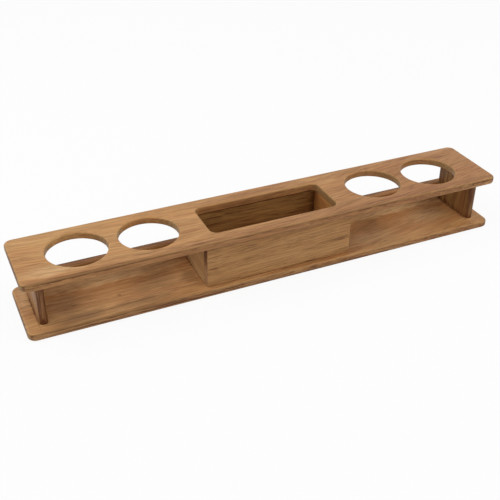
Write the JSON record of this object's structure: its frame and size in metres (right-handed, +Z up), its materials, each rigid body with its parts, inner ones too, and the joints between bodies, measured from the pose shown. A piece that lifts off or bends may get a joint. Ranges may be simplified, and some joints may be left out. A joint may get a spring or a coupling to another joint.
{
  "type": "glass and tray rack",
  "caption": "Long low wooden rack of two boards held apart by uprights, with round glass holes in the top board and an open rectangular box in the middle.",
  "frame": {"origin": "middle of the base board's underside, on the surface that the rack stands on", "axes": "+X along the rack, to the right as seen from the front; +Y from front to back; +Z up"},
  "size_m": [0.7, 0.115, 0.085],
  "materials": {
    "teak_base": "oiled teak, satin, grain along the board",
    "teak_top": "oiled teak, satin, grain along the board",
    "teak_upright": "oiled teak, satin, upright grain",
    "teak_front": "oiled teak, satin, fine level grain",
    "teak_panel": "oiled teak, satin, level grain",
    "teak_side": "oiled teak, satin, level grain",
    "teak_rail": "oiled teak, satin, level grain",
    "beech_dowel": "plain beech, fluted"
  },
  "bodies": {
    "root": {"base_board": "teak_base", "top_board": "teak_top", "left_upright": "teak_upright", "right_upright": "teak_upright", "box_front": "teak_front", "box_back": "teak_panel", "box_left_side": "teak_side", "box_right_side": "teak_side", "left_rail": "teak_rail", "right_rail": "teak_rail", "upright_base_dowels": "beech_dowel", "upright_top_dowels": "beech_dowel", "box_base_dowels": "beech_dowel", "box_top_dowels": "beech_dowel", "box_corner_dowels": "beech_dowel", "rail_base_dowels": "beech_dowel", "rail_upright_dowels": "beech_dowel"}
  },
  "joints": []
}
